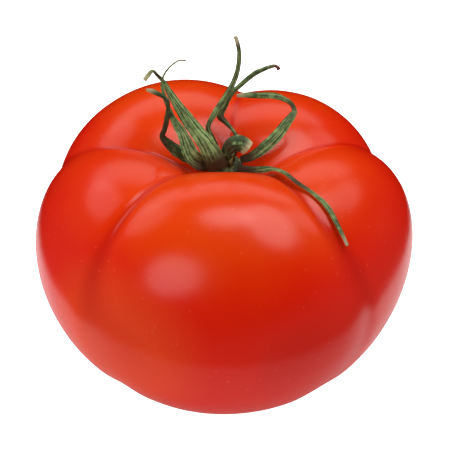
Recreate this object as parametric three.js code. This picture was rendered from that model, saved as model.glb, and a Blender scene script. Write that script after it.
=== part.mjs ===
// A ripe beefsteak tomato as picked: one lobed fruit, its short bent stalk and seven withered sepals.
// Units are millimetres and +Z is up. The origin is the middle of the flat spot that the fruit rests
// on, straight under its stem cavity. Bearings are in degrees from -Y, growing towards +X.

import * as THREE from "three";

// Driving dimensions of the fruit.
const centreHeight = 31; // from the ground up to the point that the skin is measured from
const lobeTilt = 6; // degrees that every lobe leans outwards
// Each lobe's middle lies `offset` from the axis and `drop` below the fruit's centre.
const lobes = [
  { bearing: -0.5, offset: 21.5, drop: 0, radial: 26.8, across: 37, upright: 31.1 },
  { bearing: 60, offset: 23.5, drop: 0.8, radial: 22.8, across: 38.4, upright: 28 },
  { bearing: 143.5, offset: 19.5, drop: 1.2, radial: 29.8, across: 29.5, upright: 28.2 },
  { bearing: -145.5, offset: 21.7, drop: -0.5, radial: 28.4, across: 32.5, upright: 28.5 },
  { bearing: -63, offset: 22.5, drop: 1.2, radial: 24.8, across: 37.5, upright: 27.8 },
];
const creaseBlend = 2; // how softly one lobe runs into the next
const heartRadius = 35; // a low, flattened ball that fills the underside between the lobes
const heartUpright = 20;
const heartDrop = 12;
const heartBlend = 5;
const cavityDepth = 4; // the extra dip at the foot of the stalk
const cavityRadius = 6;
const fruitSegments = { around: 64, upDown: 36 };

// Driving dimensions of the green parts.
const gap = 0.3; // clearance between one piece and the next
const sepalThickness = 0.7;
const sepalSegments = { around: 6, along: 24 };
const stalkSegments = { around: 14, along: 16 };

// The stalk stands in the stem cavity on a flared foot, and bends over at its broken joint.
// Each stop is [x, y, z, radius].
const stalkStops = [
  [0, 0, 47, 0.8],
  [0, 0, 50, 2.2],
  [0, 0, 52.5, 3.8],
  [0, 0, 53.8, 4.5],
  [0.1, 0, 54.4, 2.8],
  [0.6, 0, 55.6, 2.1],
  [0.9, 0, 57.3, 2],
  [1.6, 0, 59.2, 2.1],
  [2.9, 0, 60.2, 2.2],
  [4.4, -0.2, 60, 2.2],
  [5.8, -0.5, 58.9, 1.8],
];

// Each sepal runs from the stalk's foot to its dry tip, and `faces` is the way its broad side faces.
// Each stop is [x, y, z, half width].
const sepals = [
  {
    name: "sepal_front",
    faces: [0, -0.8, 0.6],
    stops: [
      [-1.5, -4, 55.3, 2.3],
      [-2.2, -3.4, 57.5, 2.6],
      [-4.5, -1.5, 61.5, 2.1],
      [-6.5, 0, 63.5, 1.8],
      [-9.5, 2, 67, 1.5],
      [-13, 5, 71.5, 0.85],
      [-14.5, 6, 74, 0.55],
      [-16, 6, 76, 0.4],
      [-17, 5.5, 77.5, 0.4],
      [-18, 5, 76.7, 0.6],
      [-19, 4.5, 75.5, 0.5],
    ],
  },
  {
    name: "sepal_front_left",
    faces: [0, -0.8, 0.6],
    stops: [
      [-3.5, -2, 55, 1.2],
      [-6, -2.5, 56.5, 2],
      [-8, -2, 58.5, 1.9],
      [-10, 0.5, 62.5, 1.3],
      [-12, 3, 64.5, 0.9],
      [-13, 4.5, 66, 0.6],
      [-14.5, 7, 69.3, 0.45],
      [-15, 9.5, 72, 0.4],
      [-13.5, 10, 75, 0.4],
      [-11, 9, 78, 0.4],
      [-9, 9, 78, 0.4],
    ],
  },
  {
    name: "sepal_left",
    faces: [-0.3, -0.6, 0.7],
    stops: [
      [-3.6, 0.6, 54.8, 0.9],
      [-6.5, 0.5, 55, 1.2],
      [-9.5, 0, 56.5, 1.5],
      [-12.5, 0.5, 58.5, 1.4],
      [-15, 1.5, 61, 0.8],
      [-14.5, 2, 63, 0.7],
      [-14, 2.5, 65.5, 0.7],
      [-13.5, 3, 69, 0.5],
      [-13.5, 3, 70.5, 0.4],
      [-14.5, 3.5, 71.5, 0.5],
      [-17, 3.5, 73, 0.6],
      [-18.5, 3.5, 73.5, 0.4],
    ],
  },
  {
    name: "sepal_back_left",
    faces: [0, -0.8, 0.6],
    stops: [
      [-1.8, 3.2, 55, 0.9],
      [-3, 4, 58.5, 0.8],
      [-4, 4.8, 61.5, 0.6],
      [-2.5, 6, 64.5, 0.7],
      [-0.5, 7.5, 67.2, 0.75],
      [1.5, 8.5, 70.5, 0.7],
      [3, 9.3, 74.5, 0.6],
      [3.5, 9.5, 79.5, 0.55],
      [3, 9.5, 83, 0.5],
      [2.5, 9.5, 84.8, 0.55],
    ],
  },
  {
    name: "sepal_back",
    faces: [0, -0.8, 0.6],
    stops: [
      [1.8, 3.8, 55, 0.9],
      [3, 5.3, 57.5, 0.6],
      [2, 7, 59, 0.45],
      [0.5, 8.5, 60, 0.6],
      [-1, 9.7, 61.2, 0.9],
      [-0.3, 10.8, 63, 0.9],
      [1.5, 12, 66, 0.65],
      [4, 13, 68.3, 0.6],
      [7.5, 14, 71, 0.65],
      [11.5, 14, 73, 0.45],
      [12.8, 13.7, 73, 0.4],
      [13.2, 13.5, 72.3, 0.55],
    ],
  },
  {
    name: "sepal_right",
    faces: [0, -0.7, 0.7],
    stops: [
      [3.9, 0.4, 54.9, 0.9],
      [6.5, 0.2, 56.1, 1.1],
      [9.5, 1.5, 57.7, 1.35],
      [12.5, 3, 60, 1.45],
      [14.7, 5, 62, 1.25],
      [16.5, 7, 63.5, 0.9],
      [17, 8.5, 64, 0.6],
      [15.8, 10.2, 65.2, 0.6],
      [12.5, 11, 66.3, 0.8],
      [8.5, 11, 66.5, 0.8],
      [5.5, 10.5, 67, 0.7],
      [3, 9.9, 67.2, 0.45],
    ],
  },
  {
    name: "sepal_front_right",
    faces: [0.5, -0.5, 0.7],
    stops: [
      [3.3, -2.4, 54.6, 0.9],
      [7.5, -3, 54.6, 0.9],
      [11, -5, 56.4, 0.95],
      [14, -9, 58.7, 0.85],
      [17, -13.5, 59.1, 0.6],
      [21, -17, 58.3, 0.55],
      [24, -20, 56.9, 0.75],
      [26.5, -24, 54.2, 0.65],
      [28.5, -27, 51, 0.4],
    ],
  },
];

const centre = new THREE.Vector3(0, 0, centreHeight);

const finishes = {
  skin: { color: 0xd6290c, roughness: 0.3, metalness: 0 },
  sepal: { color: 0x6c8548, roughness: 0.75, metalness: 0 },
  stalk: { color: 0x565a2a, roughness: 0.7, metalness: 0 },
};

// The larger of two numbers, eased over where they are nearly alike.
function smoothMax(a, b, blend) {
  const closeness = Math.max(blend - Math.abs(a - b), 0) / blend;
  return Math.max(a, b) + (closeness ** 3 * blend) / 6;
}

// The distance along a direction from the fruit's centre to the far side of an ellipsoid, which is
// given by its three unit axes, its half size along each, and its middle relative to the centre. A
// ray that misses the ellipsoid gives a small or negative distance.
function ellipsoidReach(direction, { axes, halfSizes, middle }) {
  let a = 0;
  let b = 0;
  let c = -1;
  axes.forEach((axis, i) => {
    const step = direction.dot(axis) / halfSizes[i];
    const start = -middle.dot(axis) / halfSizes[i];
    a += step * step;
    b += step * start;
    c += start * start;
  });
  return (-b + Math.sqrt(Math.max(b * b - a * c, 0))) / a;
}

// One lobe as an ellipsoid that leans outwards on its bearing.
function lobeEllipsoid({ bearing, offset, drop, radial, across, upright }) {
  const turn = THREE.MathUtils.degToRad(bearing);
  const tilt = THREE.MathUtils.degToRad(lobeTilt);
  const outward = new THREE.Vector3(Math.sin(turn), -Math.cos(turn), 0);
  const sideways = new THREE.Vector3(Math.cos(turn), Math.sin(turn), 0);
  const upward = new THREE.Vector3(0, 0, 1);
  const middle = outward.clone().multiplyScalar(offset);
  middle.z -= drop;
  const leaningOut = outward.clone().multiplyScalar(Math.cos(tilt));
  leaningOut.addScaledVector(upward, Math.sin(tilt));
  const leaningUp = upward.clone().multiplyScalar(Math.cos(tilt));
  leaningUp.addScaledVector(outward, -Math.sin(tilt));
  return { axes: [leaningOut, sideways, leaningUp], halfSizes: [radial, across, upright], middle };
}

const lobeEllipsoids = lobes.map(lobeEllipsoid);
const heart = {
  axes: [new THREE.Vector3(1, 0, 0), new THREE.Vector3(0, 1, 0), new THREE.Vector3(0, 0, 1)],
  halfSizes: [heartRadius, heartRadius, heartUpright],
  middle: new THREE.Vector3(0, 0, -heartDrop),
};

// The distance from the fruit's centre to its skin along a unit direction.
function skinReach(direction) {
  let reach = ellipsoidReach(direction, lobeEllipsoids[0]);
  for (const lobe of lobeEllipsoids.slice(1)) {
    reach = smoothMax(reach, ellipsoidReach(direction, lobe), creaseBlend);
  }
  reach = smoothMax(reach, ellipsoidReach(direction, heart), heartBlend);
  if (direction.z > 0) {
    const fromAxis = Math.hypot(direction.x, direction.y) * reach;
    reach -= cavityDepth * Math.exp(-((fromAxis / cavityRadius) ** 2));
  }
  return reach;
}

// The lobed fruit, cut off flat where it rests on the ground.
function fruitGeometry() {
  const geometry = new THREE.SphereGeometry(1, fruitSegments.around, fruitSegments.upDown);
  geometry.rotateX(Math.PI / 2);
  const position = geometry.getAttribute("position");
  const point = new THREE.Vector3();
  for (let i = 0; i < position.count; i += 1) {
    point.fromBufferAttribute(position, i).normalize();
    point.setLength(skinReach(point)).add(centre);
    position.setXYZ(i, point.x, point.y, Math.max(point.z, 0));
  }
  geometry.computeVertexNormals();
  return geometry;
}

// Lifts a point that would touch the fruit until it lies a gap above the skin.
function liftOffSkin(point) {
  const ray = point.clone().sub(centre);
  const clear = skinReach(ray.clone().normalize()) + gap;
  if (ray.length() < clear) {
    point.copy(centre).add(ray.setLength(clear));
  }
}

// A closed body swept along a smooth route through `stops`. Its section is an oval: the last number
// of each stop is half its width, and `halfThickness` maps that to half its thickness.
function sweptGeometry(stops, faces, halfThickness, segments) {
  const route = new THREE.CatmullRomCurve3(stops.map(([x, y, z]) => new THREE.Vector3(x, y, z)));
  const broadSide = new THREE.Vector3(...faces);
  const geometry = new THREE.SphereGeometry(1, segments.around, segments.along);
  const position = geometry.getAttribute("position");
  const uv = geometry.getAttribute("uv");
  for (let i = 0; i < position.count; i += 1) {
    const along = 1 - uv.getY(i);
    const ring = Math.hypot(position.getX(i), position.getZ(i));
    const inRing = ring > 1e-6 ? 1 / ring : 0;
    const stop = Math.min(Math.floor(along * (stops.length - 1)), stops.length - 2);
    const between = along * (stops.length - 1) - stop;
    const halfWidth = THREE.MathUtils.lerp(stops[stop][3], stops[stop + 1][3], between);
    const tangent = route.getTangent(along);
    const across = broadSide.clone().cross(tangent).normalize();
    const outwards = tangent.clone().cross(across);
    const point = route.getPoint(along);
    point.addScaledVector(across, position.getX(i) * inRing * halfWidth);
    point.addScaledVector(outwards, position.getZ(i) * inRing * halfThickness(halfWidth));
    liftOffSkin(point);
    position.setXYZ(i, point.x, point.y, point.z);
  }
  geometry.computeVertexNormals();
  return geometry;
}

function sepalGeometry({ stops, faces }) {
  return sweptGeometry(stops, faces, () => sepalThickness / 2, sepalSegments);
}

function stalkGeometry() {
  return sweptGeometry(stalkStops, [0, -1, 0], (radius) => radius, stalkSegments);
}

function piece(name, geometry, finish) {
  const mesh = new THREE.Mesh(geometry, new THREE.MeshStandardMaterial(finish));
  mesh.name = name;
  return mesh;
}

const tomato = new THREE.Group();
tomato.add(piece("fruit", fruitGeometry(), finishes.skin));
tomato.add(piece("stalk", stalkGeometry(), finishes.stalk));
for (const sepal of sepals) {
  tomato.add(piece(sepal.name, sepalGeometry(sepal), finishes.sepal));
}

export default tomato;
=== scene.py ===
"""A ripe beefsteak tomato with its withered sepals and a stub of stalk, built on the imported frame.

Lengths in the tables below are in millimetres and are turned to metres where they are used. The
origin is the middle of the flat spot that the fruit rests on, +Z is up, and bearings are in degrees
from -Y, growing towards +X.
"""

import math
from functools import partial

import bpy
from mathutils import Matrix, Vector


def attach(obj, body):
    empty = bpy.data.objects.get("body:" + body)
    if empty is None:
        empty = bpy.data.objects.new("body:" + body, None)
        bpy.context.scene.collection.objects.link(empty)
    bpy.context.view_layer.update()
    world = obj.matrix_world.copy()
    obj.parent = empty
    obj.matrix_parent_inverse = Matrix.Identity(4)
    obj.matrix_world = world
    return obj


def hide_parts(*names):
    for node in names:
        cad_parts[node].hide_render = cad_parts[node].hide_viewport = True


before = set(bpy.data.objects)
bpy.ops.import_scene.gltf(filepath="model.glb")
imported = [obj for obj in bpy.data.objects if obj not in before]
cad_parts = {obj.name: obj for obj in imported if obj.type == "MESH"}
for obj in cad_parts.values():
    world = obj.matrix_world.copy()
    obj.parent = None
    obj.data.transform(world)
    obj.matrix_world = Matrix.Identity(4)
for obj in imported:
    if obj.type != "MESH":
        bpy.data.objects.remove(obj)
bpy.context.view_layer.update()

bl_info = {
    "name": "Beefsteak Tomato",
    "version": (1, 0, 0),
    "blender": (4, 5, 0),
    "location": "3D View > Sidebar > Tomato",
    "description": "Builds a lobed tomato with its sepals, stalk and a plain studio",
    "category": "Object",
}

MM = 0.001
BODY = "root"

# The fruit's lobes: bearing, distance from the axis, drop below the fruit's centre, and half sizes
# outwards, across and upright.
LOBES = (
    (-0.5, 21.5, 0, 26.8, 37, 31.1),
    (60, 23.5, 0.8, 22.8, 38.4, 28),
    (143.5, 19.5, 1.2, 29.8, 29.5, 28.2),
    (-145.5, 21.7, -0.5, 28.4, 32.5, 28.5),
    (-63, 22.5, 1.2, 24.8, 37.5, 27.8),
)
LOBE_TILT = 6
HEART = (35, 35, 20)  # half sizes of the flattened ball that fills the underside
HEART_DROP = 12

# The stalk stands on a flared foot and bends over at its broken joint. Stops are x, y, z, radius.
# The values for its colours mean what they do for the sepals.
STALK = {
    "piece": "bent_stalk",
    "node": "stalk",
    "faces": (0, -1, 0),
    "tip": 0.0,
    "dark": 0.6,
    "streak": 0.6,
    "foot": 0.6,
    "twist": (0.75, 0.05),
    "stops": (
        (0, 0, 47, 0.8),
        (0, 0, 50, 2.2),
        (0, 0, 52.5, 3.8),
        (0, 0, 53.8, 4.4),
        (0.1, 0, 54.4, 2.7),
        (0.6, 0, 55.6, 2),
        (0.9, 0, 57.3, 1.9),
        (1.6, 0, 59.2, 2),
        (2.9, 0, 60.2, 1.95),
        (4.4, -0.2, 60, 1.95),
        (5.6, -0.5, 59.1, 1.8),
    ),
}

# Each sepal runs from the stalk's foot to its dry tip. Stops are x, y, z, half width. fold is how
# far its edges bend back for each unit of half width, tip goes from straw (0) to red-brown (1), and
# dark moves its greens from light to dark. twist is where along its length a band of brown is
# painted, and over how much of it.
SEPALS = (
    {
        "piece": "front_sepal",
        "node": "sepal_front",
        "faces": (0, -0.8, 0.6),
        "fold": 0.25,
        "ribs": 3,
        "tip": 0.0,
        "dark": 0.1,
        "twist": (0.84, 0.06),
        "stops": (
            (-1.5, -4, 55.3, 2.3),
            (-2.2, -3.4, 57.5, 2.6),
            (-4.5, -1.5, 61.5, 2.1),
            (-6.5, 0, 63.5, 1.8),
            (-9.5, 2, 67, 1.5),
            (-13, 5, 71.5, 0.85),
            (-14.5, 6, 74, 0.55),
            (-16, 6, 76, 0.4),
            (-17, 5.5, 77.5, 0.4),
            (-18, 5, 76.7, 0.6),
            (-19, 4.5, 75.5, 0.5),
        ),
    },
    {
        "piece": "front_left_sepal",
        "node": "sepal_front_left",
        "faces": (0, -0.8, 0.6),
        "fold": -0.25,
        "ribs": 3,
        "tip": 0.6,
        "dark": 0.15,
        "twist": (0.6, 0.04),
        "stops": (
            (-3.5, -2, 55, 1.2),
            (-6, -2.5, 56.5, 2),
            (-8, -2, 58.5, 1.9),
            (-10, 0.5, 62.5, 1.3),
            (-12, 3, 64.5, 0.9),
            (-13, 4.5, 66, 0.6),
            (-14.5, 7, 69.3, 0.45),
            (-15, 9.5, 72, 0.3),
            (-13.5, 10, 75, 0.22),
            (-11, 9, 78, 0.2),
            (-9, 9, 78, 0.18),
        ),
    },
    {
        "piece": "left_sepal",
        "node": "sepal_left",
        "faces": (-0.3, -0.6, 0.7),
        "fold": 0.5,
        "ribs": 2,
        "tip": 0.2,
        "dark": 0.75,
        "twist": (0.52, 0.16),
        "stops": (
            (-3.6, 0.6, 54.8, 0.9),
            (-6.5, 0.5, 55, 1.2),
            (-9.5, 0, 56.5, 1.5),
            (-12.5, 0.5, 58.5, 1.4),
            (-15, 1.5, 61, 0.8),
            (-14.5, 2, 63, 0.7),
            (-14, 2.5, 65.5, 0.7),
            (-13.5, 3, 69, 0.5),
            (-13.5, 3, 70.5, 0.4),
            (-14.5, 3.5, 71.5, 0.5),
            (-17, 3.5, 73, 0.6),
            (-18.5, 3.5, 73.5, 0.3),
        ),
    },
    {
        "piece": "back_left_sepal",
        "node": "sepal_back_left",
        "faces": (0, -0.8, 0.6),
        "fold": 0.6,
        "ribs": 1,
        "tip": 0.1,
        "dark": 0.3,
        "twist": (0.93, 0.04),
        "stops": (
            (-1.8, 3.2, 55, 0.9),
            (-3, 4, 58.5, 0.8),
            (-4, 4.8, 61.5, 0.6),
            (-2.5, 6, 64.5, 0.7),
            (-0.5, 7.5, 67.2, 0.75),
            (1.5, 8.5, 70.5, 0.7),
            (3, 9.3, 74.5, 0.6),
            (3.5, 9.5, 79.5, 0.55),
            (3, 9.5, 83, 0.5),
            (2.5, 9.5, 84.5, 0.5),
        ),
    },
    {
        "piece": "back_sepal",
        "node": "sepal_back",
        "faces": (0, -0.8, 0.6),
        "fold": 0.5,
        "ribs": 1,
        "tip": 1.0,
        "dark": 0.35,
        "twist": (0.3, 0.08),
        "stops": (
            (1.8, 3.8, 55, 0.9),
            (3, 5.3, 57.5, 0.6),
            (2, 7, 59, 0.45),
            (0.5, 8.5, 60, 0.6),
            (-1, 9.7, 61.2, 0.9),
            (-0.3, 10.8, 63, 0.9),
            (1.5, 12, 66, 0.65),
            (4, 13, 68.3, 0.6),
            (7.5, 14, 71, 0.65),
            (11.5, 14, 73, 0.45),
            (12.8, 13.7, 73, 0.4),
            (13.2, 13.5, 72.3, 0.55),
        ),
    },
    {
        "piece": "right_sepal",
        "node": "sepal_right",
        "faces": (0, -0.7, 0.7),
        "fold": 0.2,
        "ribs": 3,
        "tip": 0.3,
        "dark": 0.25,
        "twist": (0.58, 0.05),
        "stops": (
            (3.9, 0.4, 54.9, 0.9),
            (6.5, 0.2, 56.1, 1.1),
            (9.5, 1.5, 57.7, 1.35),
            (12.5, 3, 60, 1.45),
            (14.7, 5, 62, 1.25),
            (16.5, 7, 63.5, 0.9),
            (17, 8.5, 64, 0.6),
            (15.8, 10.2, 65.2, 0.6),
            (12.5, 11, 66.3, 0.8),
            (8.5, 11, 66.5, 0.8),
            (5.5, 10.5, 67, 0.7),
            (3, 9.9, 67.2, 0.45),
        ),
    },
    {
        "piece": "front_right_sepal",
        "node": "sepal_front_right",
        "faces": (0.5, -0.5, 0.7),
        "fold": 0.3,
        "ribs": 2,
        "tip": 0.2,
        "dark": 0.3,
        "twist": (0.5, 0.1),
        "stops": (
            (3.3, -2.4, 54.6, 0.9),
            (7.5, -3, 54.6, 0.9),
            (11, -5, 56.4, 0.95),
            (14, -9, 58.7, 0.85),
            (17, -13.5, 59.1, 0.6),
            (21, -17, 58.3, 0.55),
            (24, -20, 56.9, 0.75),
            (26.5, -24, 54.2, 0.65),
            (28.5, -27, 51, 0.4),
        ),
    },
)

# streak is how much of the colour's pattern runs lengthwise, out of 2, and foot is how much of the
# length is brown next to the stalk.
SEPAL_LOOK = {"streak": 1.4, "foot": 0.2}

# The soft lights are oval: name, bearing and height in degrees, distance, width and height in
# metres, and power in watts.
SOFT_LIGHTS = (
    ("key_light", 106, 63, 0.60, 0.52, 0.32, 1.8),
    ("top_light", 168, 80, 0.60, 0.27, 0.27, 0.9),
    ("left_light", -38, 36, 0.60, 0.38, 0.36, 1.15),
    ("back_light", -175, 35, 0.60, 0.90, 0.25, 0.75),
    ("back_left_light", -124, 38, 0.60, 0.32, 0.30, 0.37),
    ("back_right_light", 124, 36, 0.60, 0.26, 0.24, 0.24),
)

# Positions of a Mix node's colour sockets.
MIX_FACTOR, MIX_A, MIX_B, MIX_RESULT = 0, 6, 7, 2

# Settings that many nodes share.
SMOOTH = {"interpolation_type": "SMOOTHSTEP"}
ADD_UP = {"operation": "MULTIPLY_ADD"}
DOT = {"operation": "DOT_PRODUCT"}
STORE = {"data_type": "FLOAT", "domain": "POINT"}


def linear(hex_colour):
    """Turns an sRGB hex colour into linear red, green, blue and an alpha of 1."""
    channels = [int(hex_colour[i : i + 2], 16) / 255 for i in (1, 3, 5)]
    return [c / 12.92 if c <= 0.04045 else ((c + 0.055) / 1.055) ** 2.4 for c in channels] + [1.0]


def add_node(tree, kind, inputs=None, **settings):
    """Adds a node, sets its properties, and links or sets each input.

    An input's value may be a node, whose first output is linked, a socket, or a plain value.
    """
    node = tree.nodes.new(kind)
    for name, value in settings.items():
        setattr(node, name, value)
    for key, value in (inputs or {}).items():
        if isinstance(value, bpy.types.Node):
            value = value.outputs[0]
        if isinstance(value, bpy.types.NodeSocket):
            tree.links.new(value, node.inputs[key])
        else:
            node.inputs[key].default_value = value
    return node


def span(value, start, end, low=0.0, high=1.0):
    """A Map Range node's inputs, for a value that goes from low at start to high at end."""
    return {"Value": value, "From Min": start, "From Max": end, "To Min": low, "To Max": high}


def product(tree, first, *others):
    """Multiplies values with each other."""
    for other in others:
        first = add_node(tree, "ShaderNodeMath", {0: first, 1: other}, operation="MULTIPLY")
    return first


def bell_curve(tree, distance, width):
    """1 where the distance is 0, falling to 0 over about twice the width on each side."""
    ratio = add_node(tree, "ShaderNodeMath", {0: distance, 1: width}, operation="DIVIDE")
    return add_node(
        tree, "ShaderNodeMath", {0: product(tree, ratio, ratio, -1.0)}, operation="EXPONENT"
    )


def drawn_out_noise(tree, place, stretch, **inputs):
    """Noise at a place given by three values, drawn out by its own amount along each."""
    point = add_node(tree, "ShaderNodeCombineXYZ", dict(enumerate(place)))
    drawn = add_node(tree, "ShaderNodeVectorMath", {0: point, 1: stretch}, operation="MULTIPLY")
    return add_node(tree, "ShaderNodeTexNoise", {"Vector": drawn, "Scale": 1.0, **inputs})


def end_tree(tree, given, result, mesh, position):
    """Moves a mesh's points to their places and ends the tree with the piece's material."""
    shaped = add_node(tree, "GeometryNodeSetPosition", {"Geometry": mesh, "Position": position})
    shaded = add_node(tree, "GeometryNodeSetShadeSmooth", {0: shaped})
    real = add_node(tree, "GeometryNodeRealizeInstances", {0: shaded})
    coat = {"Geometry": real, "Material": given.outputs["Material"]}
    finish = add_node(tree, "GeometryNodeSetMaterial", coat)
    tree.links.new(finish.outputs[0], result.inputs[0])


def new_tree(name, inputs, outputs):
    """Makes a geometry node tree with named sockets, and returns it with its two end nodes.

    inputs holds name, socket type and default, and outputs holds name and socket type.
    """
    tree = bpy.data.node_groups.new(name, "GeometryNodeTree")
    for label, kind, default in inputs:
        socket = tree.interface.new_socket(label, in_out="INPUT", socket_type=kind)
        if default is not None:
            socket.default_value = default
    for label, kind in outputs:
        tree.interface.new_socket(label, in_out="OUTPUT", socket_type=kind)
    return tree, tree.nodes.new("NodeGroupInput"), tree.nodes.new("NodeGroupOutput")


def run_tree(piece, tree, values):
    """Runs a tree on a piece and keeps the result as the piece's plain mesh."""
    modifier = piece.modifiers.new(tree.name, "NODES")
    modifier.node_group = tree
    for item in tree.interface.items_tree:
        if item.item_type == "SOCKET" and item.in_out == "INPUT" and item.name in values:
            modifier[item.identifier] = values[item.name]
    graph = bpy.context.evaluated_depsgraph_get()
    finished = bpy.data.meshes.new_from_object(piece.evaluated_get(graph), depsgraph=graph)
    if not finished.polygons:
        raise RuntimeError(f"{piece.name} came out empty")
    piece.modifiers.clear()
    piece.data = finished
    finished.name = piece.name


def place(piece, node, slot):
    """Puts a finished piece in the place of its CAD node."""
    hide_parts(node)
    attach(piece, BODY)


# ---- The fruit's shape ----

# Where on the fruit its fine shape comes in and is whole, as heights (Z) and fronts (Y) of the unit
# direction from its centre.
BLEND_HEIGHTS = (-0.35, 0.45)
SHOULDER = (0.05, 0.5)
FLANK = (0.5, 0.2)
ABOVE_UNDERSIDE = (-0.9, -0.5)
FRONT = (0.05, -0.3)
SWELL_SCALE = 2.6
PINCH_WIDTH = 0.8 * MM
SCAR_RADII = (0.8 * MM, 5 * MM)


def ellipsoid_inputs(axes, half_sizes, middle):
    """The vectors that the Ellipsoid Reach group wants, in metres."""
    scaled = [Vector(axis) / (half * MM) for axis, half in zip(axes, half_sizes)]
    start = [-axis.dot(Vector(middle) * MM) for axis in scaled]
    return {
        "Outward Axis": scaled[0],
        "Sideways Axis": scaled[1],
        "Upward Axis": scaled[2],
        "Start": start,
    }


def lobe_inputs(bearing, offset, drop, outward, across, upright):
    """One lobe: an ellipsoid that leans outwards on its bearing."""
    turn, tilt = math.radians(bearing), math.radians(LOBE_TILT)
    out = Vector((math.sin(turn), -math.cos(turn), 0))
    side = Vector((math.cos(turn), math.sin(turn), 0))
    up = Vector((0, 0, 1))
    axes = (
        out * math.cos(tilt) + up * math.sin(tilt), side, up * math.cos(tilt) - out * math.sin(tilt)
    )
    return ellipsoid_inputs(axes, (outward, across, upright), out * offset - up * drop)


def heart_inputs():
    """The flattened ball in the middle: it stands upright, below the fruit's centre."""
    axes = ((1, 0, 0), (0, 1, 0), (0, 0, 1))
    return ellipsoid_inputs(axes, HEART, (0, 0, -HEART_DROP))


def ellipsoid_reach_tree():
    """How far a ray from the fruit's centre goes before it leaves an ellipsoid."""
    tree, given, result = new_tree(
        "Ellipsoid Reach",
        [
            ("Direction", "NodeSocketVector", None),
            ("Outward Axis", "NodeSocketVector", None),
            ("Sideways Axis", "NodeSocketVector", None),
            ("Upward Axis", "NodeSocketVector", None),
            ("Start", "NodeSocketVector", None),
        ],
        [("Reach", "NodeSocketFloat")],
    )
    add = partial(add_node, tree)
    steps = [
        add(
            "ShaderNodeVectorMath", {0: given.outputs["Direction"], 1: given.outputs[axis]}, **DOT
        ).outputs["Value"]
        for axis in ("Outward Axis", "Sideways Axis", "Upward Axis")
    ]
    step = add("ShaderNodeCombineXYZ", dict(enumerate(steps)))
    start = given.outputs["Start"]
    a = add("ShaderNodeVectorMath", {0: step, 1: step}, **DOT).outputs["Value"]
    b = add("ShaderNodeVectorMath", {0: step, 1: start}, **DOT).outputs["Value"]
    c = add("ShaderNodeVectorMath", {0: start, 1: start}, **DOT).outputs["Value"]
    c_less_one = add("ShaderNodeMath", {0: c, 1: 1.0}, operation="SUBTRACT")
    a_times_c = add("ShaderNodeMath", {0: a, 1: c_less_one}, operation="MULTIPLY")
    b_squared = add("ShaderNodeMath", {0: b, 1: b}, operation="MULTIPLY")
    inside = add("ShaderNodeMath", {0: b_squared, 1: a_times_c}, operation="SUBTRACT")
    root = add("ShaderNodeMath", {0: inside}, operation="SQRT")
    top = add("ShaderNodeMath", {0: root, 1: b}, operation="SUBTRACT")
    reach = add("ShaderNodeMath", {0: top, 1: a}, operation="DIVIDE")
    tree.links.new(reach.outputs[0], result.inputs["Reach"])
    return tree


def skin_reach_tree(ellipsoid_tree, sizes):
    """The distance from the fruit's centre to its skin along a direction.

    Crease Gap is how far the second lobe lies under the first, so it is 0 along every crease.
    """
    tree, given, result = new_tree(
        "Skin Reach",
        [
            ("Direction", "NodeSocketVector", None),
            ("Upper Blend", "NodeSocketFloat", sizes.upper_blend),
            ("Lower Blend", "NodeSocketFloat", sizes.lower_blend),
            ("Heart Blend", "NodeSocketFloat", sizes.heart_blend),
            ("Cavity Depth", "NodeSocketFloat", sizes.cavity_depth),
            ("Cavity Radius", "NodeSocketFloat", sizes.cavity_radius),
        ],
        [("Reach", "NodeSocketFloat"), ("Crease Gap", "NodeSocketFloat")],
    )
    add = partial(add_node, tree)
    direction = given.outputs["Direction"]
    parts = add("ShaderNodeSeparateXYZ", {0: direction})
    blend = add(
        "ShaderNodeMapRange",
        span(
            parts.outputs["Z"],
            *BLEND_HEIGHTS,
            given.outputs["Lower Blend"],
            given.outputs["Upper Blend"],
        ),
        **SMOOTH,
    )
    reaches = [
        add(
            "GeometryNodeGroup",
            {"Direction": direction, **lobe_inputs(*lobe)},
            node_tree=ellipsoid_tree,
        )
        for lobe in LOBES
    ]
    smooth = first = reaches[0]
    second = add("ShaderNodeValue")
    for reach in reaches[1:]:
        smooth = add("ShaderNodeMath", {0: smooth, 1: reach, 2: blend}, operation="SMOOTH_MAX")
        lower = add("ShaderNodeMath", {0: first, 1: reach}, operation="MINIMUM")
        second = add("ShaderNodeMath", {0: second, 1: lower}, operation="MAXIMUM")
        first = add("ShaderNodeMath", {0: first, 1: reach}, operation="MAXIMUM")
    crease_gap = add("ShaderNodeMath", {0: first, 1: second}, operation="SUBTRACT")
    heart = add(
        "GeometryNodeGroup", {"Direction": direction, **heart_inputs()}, node_tree=ellipsoid_tree
    )
    smooth = add(
        "ShaderNodeMath",
        {0: smooth, 1: heart, 2: given.outputs["Heart Blend"]},
        operation="SMOOTH_MAX",
    )
    # The dip at the foot of the stalk is a bell curve round the axis, on the upper side only.
    level = add("ShaderNodeCombineXYZ", {0: parts.outputs["X"], 1: parts.outputs["Y"]})
    slant = add("ShaderNodeVectorMath", {0: level}, operation="LENGTH")
    from_axis = product(tree, slant.outputs["Value"], smooth)
    bell = bell_curve(tree, from_axis, given.outputs["Cavity Radius"])
    upper = add("ShaderNodeMath", {0: parts.outputs["Z"], 1: 0.0}, operation="GREATER_THAN")
    dip = product(tree, bell, given.outputs["Cavity Depth"], upper)
    reach = add("ShaderNodeMath", {0: smooth, 1: dip}, operation="SUBTRACT")
    tree.links.new(reach.outputs[0], result.inputs["Reach"])
    tree.links.new(crease_gap.outputs[0], result.inputs["Crease Gap"])
    return tree


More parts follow.
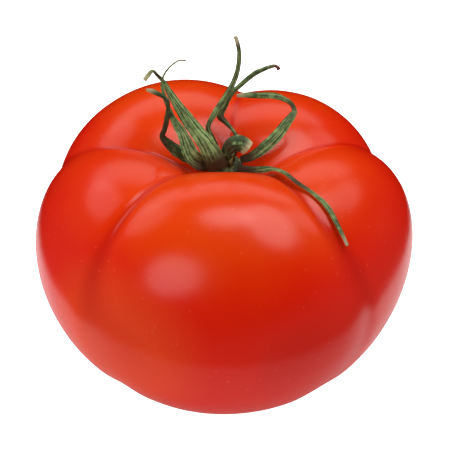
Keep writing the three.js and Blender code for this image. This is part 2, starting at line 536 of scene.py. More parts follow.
def fruit_tree(skin_tree, sizes):
    """A ball of fine quads pushed out to the skin, with its small unevenness and its scar."""
    tree, given, result = new_tree(
        "Lobed Fruit",
        [
            ("Geometry", "NodeSocketGeometry", None),
            ("Segments", "NodeSocketInt", 480),
            ("Rings", "NodeSocketInt", 180),
            ("Centre Height", "NodeSocketFloat", sizes.centre_height),
            ("Skin Inset", "NodeSocketFloat", sizes.skin_inset),
            ("Unevenness", "NodeSocketFloat", sizes.unevenness),
            ("Crease Pinch", "NodeSocketFloat", sizes.crease_pinch),
            ("Furrow Depth", "NodeSocketFloat", sizes.furrow_depth),
            ("Furrow Width", "NodeSocketFloat", sizes.furrow_width),
            ("Contact Softness", "NodeSocketFloat", sizes.contact_softness),
            ("Scar Depth", "NodeSocketFloat", sizes.scar_depth),
            ("Material", "NodeSocketMaterial", None),
        ],
        [("Geometry", "NodeSocketGeometry")],
    )
    add = partial(add_node, tree)
    ball = add(
        "GeometryNodeMeshUVSphere",
        {"Segments": given.outputs["Segments"], "Rings": given.outputs["Rings"], "Radius": 1.0},
    )
    direction = add("GeometryNodeInputPosition")
    skin = add("GeometryNodeGroup", {"Direction": direction}, node_tree=skin_tree)
    parts = add("ShaderNodeSeparateXYZ", {0: direction})

    # A slow swell of the skin, from soft dents 15 to 20 mm apart.
    swell = add(
        "ShaderNodeTexNoise",
        {"Vector": direction, "Scale": SWELL_SCALE, "Detail": 1.5, "Roughness": 0.45},
    )
    dents = product(tree, swell.outputs[0], given.outputs["Unevenness"])
    # The creases on each side of the front lobe are pinched to a thin line on the shoulder. Further
    # down they open into soft furrows, which fade out underneath.
    shoulder, flank, above_underside, front = (
        add("ShaderNodeMapRange", span(parts.outputs[axis], *limits), **SMOOTH)
        for axis, limits in (("Z", SHOULDER), ("Z", FLANK), ("Z", ABOVE_UNDERSIDE), ("Y", FRONT))
    )
    crease_gap = skin.outputs["Crease Gap"]
    line = bell_curve(tree, crease_gap, PINCH_WIDTH)
    pinch = product(tree, line, shoulder, front, given.outputs["Crease Pinch"])
    wide_line = bell_curve(tree, crease_gap, given.outputs["Furrow Width"])
    furrow = product(tree, wide_line, flank, above_underside, front, given.outputs["Furrow Depth"])
    reach = skin.outputs["Reach"]
    for depth in (given.outputs["Skin Inset"], dents, pinch, furrow):
        reach = add("ShaderNodeMath", {0: reach, 1: depth}, operation="SUBTRACT")
    spread = add("ShaderNodeVectorMath", {0: direction, "Scale": reach}, operation="SCALE")
    centre = add("ShaderNodeCombineXYZ", {2: given.outputs["Centre Height"]})
    raised = add("ShaderNodeVectorMath", {0: spread, 1: centre}, operation="ADD")
    spot = add("ShaderNodeSeparateXYZ", {0: raised})
    across = {0: spot.outputs["X"], 1: spot.outputs["Y"]}
    level = add("ShaderNodeCombineXYZ", across)
    from_axis = add("ShaderNodeVectorMath", {0: level}, operation="LENGTH")
    # The blossom end scar is a shallow pit in the middle of the flat spot.
    pit = add(
        "ShaderNodeMapRange",
        span(from_axis.outputs["Value"], *SCAR_RADII, given.outputs["Scar Depth"], 0.0),
        **SMOOTH,
    )
    height = add(
        "ShaderNodeMath",
        {0: spot.outputs["Z"], 1: pit, 2: given.outputs["Contact Softness"]},
        operation="SMOOTH_MAX",
    )
    settled = add("ShaderNodeCombineXYZ", {**across, 2: height})
    marked = add(
        "GeometryNodeStoreNamedAttribute",
        {"Geometry": ball, "Name": "crease_gap", "Value": crease_gap},
        **STORE,
    )
    end_tree(tree, given, result, marked, settled)
    return tree


# ---- The green parts' shape ----

WRINKLE_STRETCH = (1.6, 7.3, 9.0)  # changes across the strap, from piece to piece and along it
EDGE_STRETCH = (3.1, 0.8, 14.0)  # changes from piece to piece, across the strap and along it
EDGE_NOISE = (0.2, 0.8)  # the part of the noise's range that moves the edges
EDGE_SWING = (0.86, 1.1)  # the narrowest and widest that a ragged edge makes a strap
FINE_WIDTHS = (0.1 * MM, 1.2 * MM)  # half widths where ribs and wrinkles begin and are whole


def strap_tree(skin_tree, sizes, centre_height):
    """A closed strap or stem swept along the piece's own chain of points.

    The section is an oval that is folded along its midrib, ribbed lengthwise and crumpled. It is
    kept just outside the fruit's skin.
    """
    tree, given, result = new_tree(
        "Withered Strap",
        [
            ("Geometry", "NodeSocketGeometry", None),
            ("Around", "NodeSocketInt", 40),
            ("Along", "NodeSocketInt", 150),
            ("Faces", "NodeSocketVector", (0.0, -1.0, 0.0)),
            ("Thickness", "NodeSocketFloat", sizes.sepal_thickness),
            ("Roundness", "NodeSocketFloat", 0.0),
            ("Fold", "NodeSocketFloat", 0.2),
            ("Ribs", "NodeSocketFloat", 3.0),
            ("Rib Height", "NodeSocketFloat", sizes.rib_height),
            ("Crumple", "NodeSocketFloat", sizes.crumple),
            ("Seed", "NodeSocketFloat", 0.0),
            ("Skin Gap", "NodeSocketFloat", sizes.skin_gap),
            ("Centre Height", "NodeSocketFloat", centre_height),
            ("Material", "NodeSocketMaterial", None),
        ],
        [("Geometry", "NodeSocketGeometry")],
    )
    add = partial(add_node, tree)
    chain = add("GeometryNodeMeshToCurve", {0: given.outputs["Geometry"]})
    spline = add("GeometryNodeCurveSplineType", {"Curve": chain}, spline_type="CATMULL_ROM")
    route = add("GeometryNodeSetSplineResolution", {"Geometry": spline, "Resolution": 16})
    tube = add(
        "GeometryNodeMeshCylinder",
        {
            "Vertices": given.outputs["Around"],
            "Side Segments": given.outputs["Along"],
            "Radius": 1.0,
            "Depth": 1.0,
        },
        fill_type="TRIANGLE_FAN",
    )
    place_on_tube = add("GeometryNodeInputPosition")
    parts = add("ShaderNodeSeparateXYZ", {0: place_on_tube})
    # The cylinder's middle is at its origin, so its height runs from -0.5 to 0.5.
    along = add("ShaderNodeMath", {0: parts.outputs["Z"], 1: 0.5}, operation="ADD", use_clamp=True)
    side, face = parts.outputs["X"], parts.outputs["Y"]
    half_width = add("GeometryNodeInputNamedAttribute", {"Name": "half_width"}, data_type="FLOAT")
    sample = add(
        "GeometryNodeSampleCurve",
        {"Curves": route, "Value": half_width, "Factor": along},
        mode="FACTOR",
        data_type="FLOAT",
        use_all_curves=True,
    )
    tangent = sample.outputs["Tangent"]
    sideways = add(
        "ShaderNodeVectorMath", {0: given.outputs["Faces"], 1: tangent}, operation="CROSS_PRODUCT"
    )
    across = add("ShaderNodeVectorMath", {0: sideways}, operation="NORMALIZE")
    outwards = add("ShaderNodeVectorMath", {0: tangent, 1: across}, operation="CROSS_PRODUCT")
    # Rough lengthwise wrinkles.
    grain = drawn_out_noise(
        tree, (side, given.outputs["Seed"], along), WRINKLE_STRETCH, Detail=3.0, Roughness=0.6
    )
    centred = add("ShaderNodeMath", {0: grain.outputs[0], 1: 0.5}, operation="SUBTRACT")
    crumple = product(tree, centred, given.outputs["Crumple"])
    # The edges run in and out a little along the strap.
    edge = drawn_out_noise(tree, (given.outputs["Seed"], side, along), EDGE_STRETCH, Detail=2.0)
    swing = add("ShaderNodeMapRange", span(edge.outputs[0], *EDGE_NOISE, *EDGE_SWING))
    ragged = product(tree, sample.outputs["Value"], swing)
    roundness = given.outputs["Roundness"]
    width = add(
        "ShaderNodeMix", {0: roundness, 2: ragged, 3: sample.outputs["Value"]}, data_type="FLOAT"
    )
    # A dry tip is thinner than the strap: the section is never thicker than it is wide.
    thin = product(tree, given.outputs["Thickness"], 0.5)
    thin_here = add("ShaderNodeMath", {0: thin, 1: width}, operation="MINIMUM")
    half_thickness = add("ShaderNodeMix", {0: roundness, 2: thin_here, 3: width}, data_type="FLOAT")
    lateral = product(tree, side, width)
    body = product(tree, face, half_thickness)
    from_midrib = add("ShaderNodeMath", {0: side}, operation="ABSOLUTE")
    fold = product(tree, from_midrib, given.outputs["Fold"], width)
    rib_turn = product(tree, side, given.outputs["Ribs"], 2 * math.pi)
    rib_wave = add("ShaderNodeMath", {0: rib_turn}, operation="COSINE")
    rib = product(tree, rib_wave, given.outputs["Rib Height"])
    # Ribs and wrinkles shrink with the width, so that the thread-like ends stay whole.
    fineness = add("ShaderNodeMapRange", span(sample.outputs["Value"], *FINE_WIDTHS))
    relief = add("ShaderNodeMath", {0: rib, 1: crumple}, operation="ADD")
    relief_here = product(tree, relief, fineness)
    bent = add("ShaderNodeMath", {0: body, 1: fold}, operation="SUBTRACT")
    depth = add("ShaderNodeMath", {0: bent, 1: relief_here}, operation="ADD")
    move_across = add("ShaderNodeVectorMath", {0: across, "Scale": lateral}, operation="SCALE")
    move_out = add("ShaderNodeVectorMath", {0: outwards, "Scale": depth}, operation="SCALE")
    moved = add(
        "ShaderNodeVectorMath", {0: sample.outputs["Position"], 1: move_across}, operation="ADD"
    )
    free = add("ShaderNodeVectorMath", {0: moved, 1: move_out}, operation="ADD")

    # Points that would touch the fruit are lifted along their ray until they clear its skin.
    centre = add("ShaderNodeCombineXYZ", {2: given.outputs["Centre Height"]})
    ray = add("ShaderNodeVectorMath", {0: free, 1: centre}, operation="SUBTRACT")
    direction = add("ShaderNodeVectorMath", {0: ray}, operation="NORMALIZE")
    distance = add("ShaderNodeVectorMath", {0: ray}, operation="LENGTH")
    skin = add("GeometryNodeGroup", {"Direction": direction}, node_tree=skin_tree)
    clear = add(
        "ShaderNodeMath", {0: skin.outputs["Reach"], 1: given.outputs["Skin Gap"]}, operation="ADD"
    )
    lifted = add("ShaderNodeMath", {0: distance.outputs["Value"], 1: clear}, operation="MAXIMUM")
    out_again = add("ShaderNodeVectorMath", {0: direction, "Scale": lifted}, operation="SCALE")
    settled = add("ShaderNodeVectorMath", {0: out_again, 1: centre}, operation="ADD")

    marked = tube
    for name, value in (("along", along), ("side", side)):
        marked = add(
            "GeometryNodeStoreNamedAttribute",
            {"Geometry": marked, "Name": name, "Value": value},
            **STORE,
        )
    end_tree(tree, given, result, marked, settled)
    return tree


def chain_piece(name, stops):
    """An object whose mesh is a chain of points, each with the half width of the strap there."""
    mesh = bpy.data.meshes.new(name)
    points = [Vector(stop[:3]) * MM for stop in stops]
    mesh.from_pydata(points, [(i, i + 1) for i in range(len(points) - 1)], [])
    widths = mesh.attributes.new("half_width", "FLOAT", "POINT")
    widths.data.foreach_set("value", [stop[3] * MM for stop in stops])
    piece = bpy.data.objects.new(name, mesh)
    bpy.context.collection.objects.link(piece)
    return piece


# ---- Materials ----


def new_material(name):
    """Makes an empty node material, and returns it with its tree."""
    material = bpy.data.materials.new(name)
    material.use_nodes = True
    material.node_tree.nodes.clear()
    return material, material.node_tree


def layered(tree, colour, layers):
    """Lays colours over a first one, each by its own factor."""
    for factor, over in layers:
        mixed = add_node(
            tree,
            "ShaderNodeMix",
            {MIX_FACTOR: factor, MIX_A: colour, MIX_B: over},
            data_type="RGBA",
        )
        colour = mixed.outputs[MIX_RESULT]
    return colour


# Where the skin's colours begin and where they are whole.
RIPENING_HEIGHTS = (44 * MM, 64 * MM)  # the shoulders' orange
BLOTCH_SHIFT = 9 * MM  # how far blotches move it up and down
# The creases' darker red is painted shade; it shows between these heights and fades over this gap.
CREASE_SHADE_HEIGHTS = (12 * MM, 50 * MM)
CREASE_SHADE_WIDTH = 1.2 * MM  # how far one lobe lies above the next where the creases' red fades
FLECK_RADII = (0.05, 0.13)  # as parts of a fleck's cell
CORK_RADII = (1.6 * MM, 2.6 * MM)
CORK_EDGE = 1.5 * MM
LATE_SIDE = (-0.55, -0.83, 0.0)  # the way that the side which ripened last faces
LATE_REACH = (0.84, 1.0)  # cosines of the angle from there

# How much of each colour shows where it is whole, and how rough the skin and its cork are.
LATE_SHARE, CREASE_SHADE_SHARE, FLECK_SHARE = 0.8, 0.6, 0.3
SKIN_ROUGHNESS, CORK_ROUGHNESS = (0.2, 0.27), 0.8


def skin_material(fruit):
    """Waxy tomato skin: a clear, smooth cuticle over translucent red flesh.

    The gloss is soft and even, the red is deep and turns to orange on the shoulders and on the side
    that ripened last, and a little light bleeds through the flesh. The creases are painted a darker
    red on the shoulders, as painted shade.
    """
    material, tree = new_material("waxy_tomato_skin")
    add = partial(add_node, tree)
    place_at = add("ShaderNodeTexCoord").outputs["Object"]
    parts = add("ShaderNodeSeparateXYZ", {0: place_at})
    # Blotches of ripeness about 25 mm across push the orange zone up and down.
    blotches = add(
        "ShaderNodeTexNoise", {"Vector": place_at, "Scale": 40.0, "Detail": 2.0, "Roughness": 0.5}
    ).outputs[0]
    shift = add("ShaderNodeMapRange", span(blotches, 0.0, 1.0, -BLOTCH_SHIFT, BLOTCH_SHIFT))
    ripening = add("ShaderNodeMath", {0: parts.outputs["Z"], 1: shift}, operation="ADD")
    shoulder = add("ShaderNodeMapRange", span(ripening, *RIPENING_HEIGHTS), **SMOOTH)
    # The front left side ripened last, and is still a little orange.
    middle = (0, 0, fruit.centre_height)
    from_middle = add("ShaderNodeVectorMath", {0: place_at, 1: middle}, operation="SUBTRACT")
    outwards = add("ShaderNodeVectorMath", {0: from_middle}, operation="NORMALIZE")
    facing = add("ShaderNodeVectorMath", {0: outwards, 1: LATE_SIDE}, **DOT)
    patch = add(
        "ShaderNodeMapRange", span(facing.outputs["Value"], *LATE_REACH, 0.0, LATE_SHARE), **SMOOTH
    )
    late = add("ShaderNodeMath", {0: shoulder, 1: patch}, operation="MAXIMUM")
    # Painted shade: the creases are painted a darker red on the shoulders, where their shade falls.
    gap = add("ShaderNodeAttribute", attribute_name="crease_gap", attribute_type="GEOMETRY")
    crease_shade_fade = span(gap.outputs["Fac"], 0.0, CREASE_SHADE_WIDTH, CREASE_SHADE_SHARE, 0.0)
    line = add("ShaderNodeMapRange", crease_shade_fade, **SMOOTH)
    high = add("ShaderNodeMapRange", span(parts.outputs["Z"], *CREASE_SHADE_HEIGHTS), **SMOOTH)
    # Pale flecks under the skin, a third of a millimetre across, in half of the cells.
    flecks = add("ShaderNodeTexVoronoi", {"Vector": place_at, "Scale": 400.0}, feature="F1")
    fleck_rim = add(
        "ShaderNodeMapRange", span(flecks.outputs["Distance"], *FLECK_RADII, FLECK_SHARE, 0.0)
    )
    fleck_pick = add(
        "ShaderNodeMath", {0: flecks.outputs["Color"], 1: 0.5}, operation="GREATER_THAN"
    )
    # Cork forms at the blossom scar and round the foot of the stalk, with a ragged edge.
    level = add("ShaderNodeCombineXYZ", {0: parts.outputs["X"], 1: parts.outputs["Y"]})
    from_axis = add("ShaderNodeVectorMath", {0: level}, operation="LENGTH")
    rough_edge = add("ShaderNodeTexNoise", {"Vector": place_at, "Scale": 900.0, "Detail": 3.0})
    ragged = add("ShaderNodeMapRange", span(rough_edge.outputs[0], 0.0, 1.0, -CORK_EDGE, CORK_EDGE))
    radius = add("ShaderNodeMath", {0: from_axis.outputs["Value"], 1: ragged}, operation="ADD")
    cork = add("ShaderNodeMapRange", span(radius, *CORK_RADII, 1.0, 0.0))
    colour = layered(
        tree,
        linear(fruit.ripe),
        (
            (late, linear(fruit.shoulder)),
            # Painted shade: the darker red laid along the creases.
            (product(tree, line, high), linear(fruit.crease)),
            (product(tree, fleck_rim, fleck_pick), linear(fruit.fleck)),
            (cork, linear(fruit.cork)),
        ),
    )
    cuticle_roughness = add("ShaderNodeMapRange", span(blotches, 0.0, 1.0, *SKIN_ROUGHNESS))
    roughness = add(
        "ShaderNodeMix", {0: cork, 2: cuticle_roughness, 3: CORK_ROUGHNESS}, data_type="FLOAT"
    )
    # The cuticle has a faint ripple about a millimetre across.
    ripple = add("ShaderNodeTexNoise", {"Vector": place_at, "Scale": 700.0, "Detail": 2.0})
    bump = add(
        "ShaderNodeBump", {"Height": ripple.outputs[0], "Strength": 0.06, "Distance": 0.0003}
    )
    shader = add(
        "ShaderNodeBsdfPrincipled",
        {
            "Base Color": colour,
            "Roughness": roughness.outputs[0],
            "Normal": bump,
            "IOR": 1.37,
            "Subsurface Weight": 0.12,
            "Subsurface Radius": (1.0, 0.18, 0.06),
            "Subsurface Scale": 0.003,
        },
    )
    add("ShaderNodeOutputMaterial", {"Surface": shader})
    return material


VEIN_STRETCH = (5.0, 2.5, 1.0)  # how much the veins change across a leaf and along it
TIP_LENGTHS = (0.9, 0.98)  # how far along a leaf its dry tip begins and is whole
SHADE_RANGE = (0.82, 1.14)  # the part of the pattern's range that goes from dark to light green
DARK_SHIFT = 0.25  # how far the darkest leaf moves that range
FOOT_START = 0.25  # where the brown of the foot starts to fade, as a part of its length
TWIST_BROWN_SHARE = 0.85  # how much brown shows at a twist


def leaf_material(name, colours, look):
    """Withered leaf or stem: thin, dull, ribbed plant skin.

    It is green where it is still fresh, brown at its foot and where it is pinched or twisted, and
    straw-coloured or rusty at its tip.
    """
    material, tree = new_material(name)
    add = partial(add_node, tree)
    place_at = add("ShaderNodeTexCoord").outputs["Object"]
    along, side = (
        add("ShaderNodeAttribute", attribute_name=wanted, attribute_type="GEOMETRY").outputs["Fac"]
        for wanted in ("along", "side")
    )
    # Mottling about a millimetre across, over the streaks of the leaf's own veins.
    mottle = add(
        "ShaderNodeTexNoise", {"Vector": place_at, "Scale": 700.0, "Detail": 4.0, "Roughness": 0.65}
    )
    veins = drawn_out_noise(tree, (side, along, 0.0), VEIN_STRETCH, Detail=3.0, Roughness=0.6)
    streaks = product(tree, veins.outputs[0], look["streak"])
    pattern = add(
        "ShaderNodeMath", {0: mottle.outputs[0], 1: 2 - look["streak"], 2: streaks}, **ADD_UP
    )
    limits = [limit + DARK_SHIFT * look["dark"] for limit in SHADE_RANGE]
    shade = add("ShaderNodeMapRange", span(pattern, *limits), **SMOOTH)
    foot = add(
        "ShaderNodeMapRange",
        span(along, FOOT_START * look["foot"], look["foot"], 1.0, 0.0),
        **SMOOTH,
    )
    twist, twist_length = look["twist"]
    # A band of brown is painted round the twist.
    from_twist = add("ShaderNodeMath", {0: along, 1: twist}, operation="SUBTRACT")
    twist_brown = product(tree, bell_curve(tree, from_twist, twist_length), TWIST_BROWN_SHARE)
    brown = add("ShaderNodeMath", {0: foot, 1: twist_brown}, operation="MAXIMUM")
    end = add("ShaderNodeMapRange", span(along, *TIP_LENGTHS), **SMOOTH)
    straw_and_rust = zip(linear(colours.tip_straw), linear(colours.tip_rust))
    tip_colour = [straw + (rust - straw) * look["tip"] for straw, rust in straw_and_rust]
    colour = layered(
        tree,
        linear(colours.leaf_dark),
        (
            (shade, linear(colours.leaf_light)),
            (brown, linear(colours.leaf_foot)),
            (end, tip_colour),
        ),
    )
    bump = add("ShaderNodeBump", {"Height": pattern, "Strength": 0.5, "Distance": 0.0004})
    shader = add(
        "ShaderNodeBsdfPrincipled",
        {
            "Base Color": colour,
            "Roughness": 0.62,
            "IOR": 1.42,
            "Normal": bump,
            "Sheen Weight": 0.06,
            "Sheen Roughness": 0.5,
            "Subsurface Weight": 0.1,
            "Subsurface Radius": (0.6, 1.0, 0.3),
            "Subsurface Scale": 0.0005,
        },
    )
    add("ShaderNodeOutputMaterial", {"Surface": shader})
    return material


SIDE_SHARE = 0.65  # how much a step to the side counts as a step back on the lit floor
GLOW_RANGE = (-30 * MM, 70 * MM)  # where the glow is weakest and strongest, behind the middle
GLOW = (0.1, 0.6)  # how strong it is there
DULL_GLOW = (0.6, 1.3)  # what only dull surfaces see: an even light, and so much more of the glow


def floor_material(colours):
    """Matt white paper that is lit from below, more so at the sides and the back of the fruit.

    It is plain white to the camera, and brighter to dull surfaces than it looks in the gloss.
    """
    material, tree = new_material("white_studio_paper")
    add = partial(add_node, tree)
    place_at = add("ShaderNodeTexCoord").outputs["Object"]
    parts = add("ShaderNodeSeparateXYZ", {0: place_at})
    aside = add("ShaderNodeMath", {0: parts.outputs["X"]}, operation="ABSOLUTE")
    path = add("ShaderNodeLightPath").outputs
    extra, more = DULL_GLOW
    behind = add("ShaderNodeMath", {0: aside, 1: SIDE_SHARE, 2: parts.outputs["Y"]}, **ADD_UP)
    glow = add("ShaderNodeMapRange", span(behind, *GLOW_RANGE, *GLOW), **SMOOTH)
    boost = add("ShaderNodeMath", {0: path["Is Diffuse Ray"], 1: more, 2: 1.0}, **ADD_UP)
    even = {0: path["Is Diffuse Ray"], 1: extra, 2: path["Is Camera Ray"]}
    bounce = add("ShaderNodeMath", even, **ADD_UP)
    strength = add("ShaderNodeMath", {0: glow, 1: boost, 2: bounce}, **ADD_UP)
    shader = add(
        "ShaderNodeBsdfPrincipled",
        {
            "Base Color": linear(colours.paper),
            "Roughness": 0.9,
            "Specular IOR Level": 0.0,
            "Emission Color": linear("#FFFFFF"),
            "Emission Strength": strength,
        },
    )
    add("ShaderNodeOutputMaterial", {"Surface": shader})
    return material


# ---- Settings ----


class TomatoFruitSettings(bpy.types.PropertyGroup):
    """Sizes and colours of the fruit."""

    centre_height: bpy.props.FloatProperty(
        name="Centre height",
        description="Height of the point that the skin is measured from",
        default=31 * MM,
        unit="LENGTH",
    )
    upper_blend: bpy.props.FloatProperty(
        name="Upper blend",
        description="How softly the lobes meet on the shoulders",
        default=1.4 * MM,
        unit="LENGTH",
    )
    lower_blend: bpy.props.FloatProperty(
        name="Lower blend",
        description="How softly the lobes meet on the lower sides",
        default=3 * MM,
        unit="LENGTH",
    )
    heart_blend: bpy.props.FloatProperty(
        name="Heart blend",
        description="How softly the lobes run into the middle of the underside",
        default=5 * MM,
        unit="LENGTH",
    )
    cavity_depth: bpy.props.FloatProperty(
        name="Cavity depth",
        description="The extra dip at the foot of the stalk",
        default=4 * MM,
        unit="LENGTH",
    )
    cavity_radius: bpy.props.FloatProperty(
        name="Cavity radius",
        description="How far that dip reaches from the axis",
        default=6 * MM,
        unit="LENGTH",
    )
    skin_inset: bpy.props.FloatProperty(
        name="Skin inset",
        description="How far the skin lies inside the plain solid",
        default=0.05 * MM,
        unit="LENGTH",
    )
    unevenness: bpy.props.FloatProperty(
        name="Unevenness",
        description="Depth of the slow dents in the skin",
        default=0.3 * MM,
        unit="LENGTH",
    )
    crease_pinch: bpy.props.FloatProperty(
        name="Crease pinch",
        description="Extra depth of the two creases beside the front lobe",
        default=0.5 * MM,
        unit="LENGTH",
    )
    furrow_depth: bpy.props.FloatProperty(
        name="Furrow depth",
        description="Depth of the soft furrows below those creases",
        default=0.5 * MM,
        unit="LENGTH",
    )
    furrow_width: bpy.props.FloatProperty(
        name="Furrow width",
        description="How far one lobe lies above the next where a furrow fades",
        default=0.8 * MM,
        unit="LENGTH",
    )
    contact_softness: bpy.props.FloatProperty(
        name="Contact softness",
        description="How gently the skin bends where it meets the ground",
        default=1.2 * MM,
        unit="LENGTH",
    )
    scar_depth: bpy.props.FloatProperty(
        name="Scar depth",
        description="Depth of the pit at the blossom end",
        default=0.9 * MM,
        unit="LENGTH",
    )
    ripe: bpy.props.StringProperty(
        name="Ripe red", description="Colour of the lower skin", default="#D81A00"
    )
    shoulder: bpy.props.StringProperty(
        name="Shoulder orange", description="Colour of the skin on top", default="#DE3E00"
    )
    # Painted shade: the darker red that the creases are painted with.
    crease: bpy.props.StringProperty(
        name="Crease red", description="Colour down in the creases", default="#B80E00"
    )
    fleck: bpy.props.StringProperty(
        name="Flecks", description="Colour of the small flecks", default="#F0704A"
    )
    cork: bpy.props.StringProperty(
        name="Cork", description="Colour of the corky scar", default="#8A6A42"
    )


class TomatoCalyxSettings(bpy.types.PropertyGroup):
    """Sizes and colours of the sepals and the stalk."""

    sepal_thickness: bpy.props.FloatProperty(
        name="Sepal thickness",
        description="Thickness of a sepal at its midrib",
        default=0.4 * MM,
        unit="LENGTH",
    )
    rib_height: bpy.props.FloatProperty(
        name="Rib height",
        description="Height of the ribs along a sepal",
        default=0.14 * MM,
        unit="LENGTH",
    )
    crumple: bpy.props.FloatProperty(
        name="Crumple",
        description="Depth of the wrinkles in a withered sepal",
        default=0.7 * MM,
        unit="LENGTH",
    )
    skin_gap: bpy.props.FloatProperty(
        name="Skin gap",
        description="How far a sepal stays above the fruit's skin",
        default=0.12 * MM,
        unit="LENGTH",
    )
    leaf_light: bpy.props.StringProperty(
        name="Leaf light", description="Colour of the light streaks", default="#9FB872"
    )
    leaf_dark: bpy.props.StringProperty(
        name="Leaf dark", description="Colour of the dark streaks", default="#2E421A"
    )
    leaf_foot: bpy.props.StringProperty(
        name="Leaf foot", description="Colour where a sepal leaves the stalk", default="#3C2606"
    )
    tip_straw: bpy.props.StringProperty(
        name="Straw tip", description="Colour of a bleached tip", default="#BDB68A"
    )
    tip_rust: bpy.props.StringProperty(
        name="Rusty tip", description="Colour of a scorched tip", default="#6A2A1A"
    )


class TomatoStageSettings(bpy.types.PropertyGroup):
    """The camera, the floor and the light."""

    camera_elevation: bpy.props.FloatProperty(
        name="Camera elevation",
        description="How far the camera looks down on the fruit",
        default=math.radians(40),
        subtype="ANGLE",
    )
    camera_distance: bpy.props.FloatProperty(
        name="Camera distance",
        description="From the camera to the fruit's centre",
        default=403.75 * MM,
        unit="LENGTH",
    )
    camera_raise: bpy.props.FloatProperty(
        name="Camera raise",
        description="How far above the fruit's centre the camera aims, across its view",
        default=2.84 * MM,
        unit="LENGTH",
    )
    lens: bpy.props.FloatProperty(
        name="Lens", description="Focal length in millimetres", default=128.2
    )
    floor_radius: bpy.props.FloatProperty(
        name="Floor radius", description="How far the floor reaches", default=6.0, unit="LENGTH"
    )
    sheet_radius: bpy.props.FloatProperty(
        name="Sheet radius",
        description="How far the part of the floor that lights the fruit reaches",
        default=0.09,
        unit="LENGTH",
    )
    ambient: bpy.props.FloatProperty(
        name="Ambient light", description="Strength of the even light from above", default=0.12
    )
    ambient_below: bpy.props.FloatProperty(
        name="Light from below",
        description="Strength of the even light from below and from both sides",
        default=1.7,
    )
    paper: bpy.props.StringProperty(
        name="Paper", description="Colour of the floor", default="#B4B4B4"
    )


# ---- Operators ----


# How much the even light counts what comes from below, a little more on the left, and from either
# side, and the sums at which it is weakest and strongest.
TENT_DOWN = (-0.1, 0, -0.75)
TENT_SIDES = 0.55
TENT_RANGE = (-0.1, 0.95)


class TOMATO_OT_stage(bpy.types.Operator):
    """Makes the camera, the floor, the soft lights and the even light"""

    bl_idname = "tomato.stage"
    bl_label = "Stage"

    def execute(self, context):
        stage = context.scene.tomato_stage
        fruit = context.scene.tomato_fruit
        self.camera(context, stage, fruit)
        self.floor(context, stage)
        for light in SOFT_LIGHTS:
            self.soft_light(context, fruit, *light)
        self.world(context, stage)
        context.scene.view_settings.view_transform = "Standard"
        return {"FINISHED"}

    def camera(self, context, stage, fruit):
        data = bpy.data.cameras.new("camera")
        data.lens = stage.lens
        data.sensor_width = 36.0
        camera = bpy.data.objects.new("camera", data)
        context.collection.objects.link(camera)
        elevation = stage.camera_elevation
        back = Vector((0, -math.cos(elevation), math.sin(elevation)))
        up = Vector((0, math.sin(elevation), math.cos(elevation)))
        centre = Vector((0, 0, fruit.centre_height))
        camera.location = centre + back * stage.camera_distance + up * stage.camera_raise
        camera.rotation_euler = (-back).to_track_quat("-Z", "Y").to_euler()
        context.scene.camera = camera

    def floor(self, context, stage):
        material = floor_material(stage)
        sheet = self.ring(context, "paper_sheet", 0.0, stage.sheet_radius, material)
        around = self.ring(
            context, "paper_surround", stage.sheet_radius, stage.floor_radius, material
        )
        # Only the sheet under the fruit lights it and is mirrored in it.
        around.visible_diffuse = False
        around.visible_glossy = False

    def ring(self, context, name, inner, outer, material):
        """A flat disc at ground level, or a ring if inner is above zero."""
        sides = 96
        turns = [2 * math.pi * i / sides for i in range(sides)]
        rims = [
            [(radius * math.cos(turn), radius * math.sin(turn), 0) for turn in turns]
            for radius in (outer, inner)
            if radius > 0
        ]
        if inner > 0:
            faces = [(i, (i + 1) % sides, (i + 1) % sides + sides, i + sides) for i in range(sides)]
        else:
            faces = [tuple(range(sides))]
        mesh = bpy.data.meshes.new(name)
        mesh.from_pydata([point for rim in rims for point in rim], [], faces)
        mesh.materials.append(material)
        floor = bpy.data.objects.new(name, mesh)
        context.collection.objects.link(floor)
        return floor

    def soft_light(self, context, fruit, name, bearing, height, distance, width, tall, power):
        data = bpy.data.lights.new(name, "AREA")
        data.shape = "ELLIPSE"
        data.size = width
        data.size_y = tall
        data.energy = power
        light = bpy.data.objects.new(name, data)
        context.collection.objects.link(light)
        turn, rise = math.radians(bearing), math.radians(height)
        out = Vector(
            (math.sin(turn) * math.cos(rise), -math.cos(turn) * math.cos(rise), math.sin(rise))
        )
        light.location = Vector((0, 0, fruit.centre_height)) + out * distance
        light.rotation_euler = (-out).to_track_quat("-Z", "Y").to_euler()

    def world(self, context, stage):
        """White to the camera, an even light on dull surfaces, and never mirrored.

        The even light is stronger from below and from the sides, as in a white tent.
        """
        world = bpy.data.worlds.new("even_light")
        context.scene.world = world
        world.use_nodes = True
        tree = world.node_tree
        tree.nodes.clear()
        add = partial(add_node, tree)
        path = add("ShaderNodeLightPath")
        towards = add("ShaderNodeTexCoord").outputs["Generated"]
        parts = add("ShaderNodeSeparateXYZ", {0: towards})
        aside = add("ShaderNodeMath", {0: parts.outputs["X"]}, operation="ABSOLUTE")
        down = add("ShaderNodeVectorMath", {0: towards, 1: TENT_DOWN}, **DOT)
        slope = add("ShaderNodeMath", {0: aside, 1: TENT_SIDES, 2: down.outputs["Value"]}, **ADD_UP)
        even = add(
            "ShaderNodeMapRange",
            span(slope, *TENT_RANGE, stage.ambient, stage.ambient_below),
            **SMOOTH,
        )
        strength = add(
            "ShaderNodeMath",
            {0: path.outputs["Is Diffuse Ray"], 1: even, 2: path.outputs["Is Camera Ray"]},
            **ADD_UP,
        )
        background = add("ShaderNodeBackground", {"Color": linear("#FFFFFF"), "Strength": strength})
        add("ShaderNodeOutputWorld", {"Surface": background})


def skin_tree_for(context):
    """The Skin Reach tree, made once and shared by the fruit and the green parts."""
    found = bpy.data.node_groups.get("Skin Reach")
    return found or skin_reach_tree(ellipsoid_reach_tree(), context.scene.tomato_fruit)


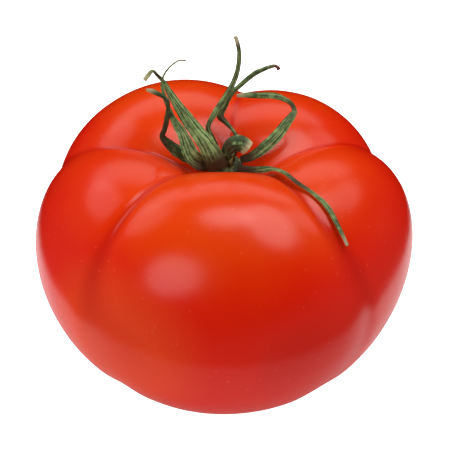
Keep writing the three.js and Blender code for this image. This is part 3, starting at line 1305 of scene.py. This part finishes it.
class TOMATO_OT_fruit(bpy.types.Operator):
    """Makes the lobed fruit"""

    bl_idname = "tomato.fruit"
    bl_label = "Fruit"

    def execute(self, context):
        sizes = context.scene.tomato_fruit
        piece = bpy.data.objects.new("lobed_fruit", bpy.data.meshes.new("lobed_fruit"))
        context.collection.objects.link(piece)
        tree = fruit_tree(skin_tree_for(context), sizes)
        run_tree(piece, tree, {"Material": skin_material(sizes)})
        place(piece, "fruit", "skin")
        return {"FINISHED"}


class TOMATO_OT_stalk(bpy.types.Operator):
    """Makes the bent stub of stalk with its flared foot"""

    bl_idname = "tomato.stalk"
    bl_label = "Stalk"

    def execute(self, context):
        colours = context.scene.tomato_calyx
        piece = chain_piece(STALK["piece"], STALK["stops"])
        values = {
            "Faces": STALK["faces"],
            "Roundness": 1.0,
            "Fold": 0.0,
            "Ribs": 2.0,
            "Around": 64,
            "Material": leaf_material("hairy_green_stem", colours, STALK),
        }
        run_tree(piece, strap_tree_for(context), values)
        place(piece, STALK["node"], "stalk")
        return {"FINISHED"}


def strap_tree_for(context):
    """The Withered Strap tree, made once and shared by the sepals and the stalk."""
    found = bpy.data.node_groups.get("Withered Strap")
    scene = context.scene
    return found or strap_tree(
        skin_tree_for(context), scene.tomato_calyx, scene.tomato_fruit.centre_height
    )


class TOMATO_OT_sepals(bpy.types.Operator):
    """Makes the seven withered sepals"""

    bl_idname = "tomato.sepals"
    bl_label = "Sepals"

    def execute(self, context):
        colours = context.scene.tomato_calyx
        for number, sepal in enumerate(SEPALS):
            piece = chain_piece(sepal["piece"], sepal["stops"])
            name = "withered_leaf_" + sepal["piece"]
            material = leaf_material(name, colours, {**SEPAL_LOOK, **sepal})
            values = {
                "Faces": sepal["faces"],
                "Fold": sepal["fold"],
                "Ribs": float(sepal["ribs"]),
                "Seed": float(number),
                "Material": material,
            }
            run_tree(piece, strap_tree_for(context), values)
            place(piece, sepal["node"], "sepal")
        return {"FINISHED"}


class TOMATO_PT_panel(bpy.types.Panel):
    """Lists the tomato's pieces in the order that they are made"""

    bl_label = "Tomato"
    bl_idname = "TOMATO_PT_panel"
    bl_space_type = "VIEW_3D"
    bl_region_type = "UI"
    bl_category = "Tomato"

    def draw(self, context):
        for operator in OPERATORS:
            self.layout.operator(operator.bl_idname)


OPERATORS = (TOMATO_OT_stage, TOMATO_OT_fruit, TOMATO_OT_stalk, TOMATO_OT_sepals)
SETTINGS = {
    "tomato_fruit": TomatoFruitSettings,
    "tomato_calyx": TomatoCalyxSettings,
    "tomato_stage": TomatoStageSettings,
}


def register():
    for name, settings in SETTINGS.items():
        bpy.utils.register_class(settings)
        setattr(bpy.types.Scene, name, bpy.props.PointerProperty(type=settings))
    for operator in OPERATORS:
        bpy.utils.register_class(operator)
    bpy.utils.register_class(TOMATO_PT_panel)


def unregister():
    bpy.utils.unregister_class(TOMATO_PT_panel)
    for operator in reversed(OPERATORS):
        bpy.utils.unregister_class(operator)
    for name, settings in SETTINGS.items():
        delattr(bpy.types.Scene, name)
        bpy.utils.unregister_class(settings)


def main():
    register()
    bpy.ops.tomato.stage()
    bpy.ops.tomato.fruit()
    bpy.ops.tomato.stalk()
    bpy.ops.tomato.sepals()


if __name__ == "__main__":
    main()
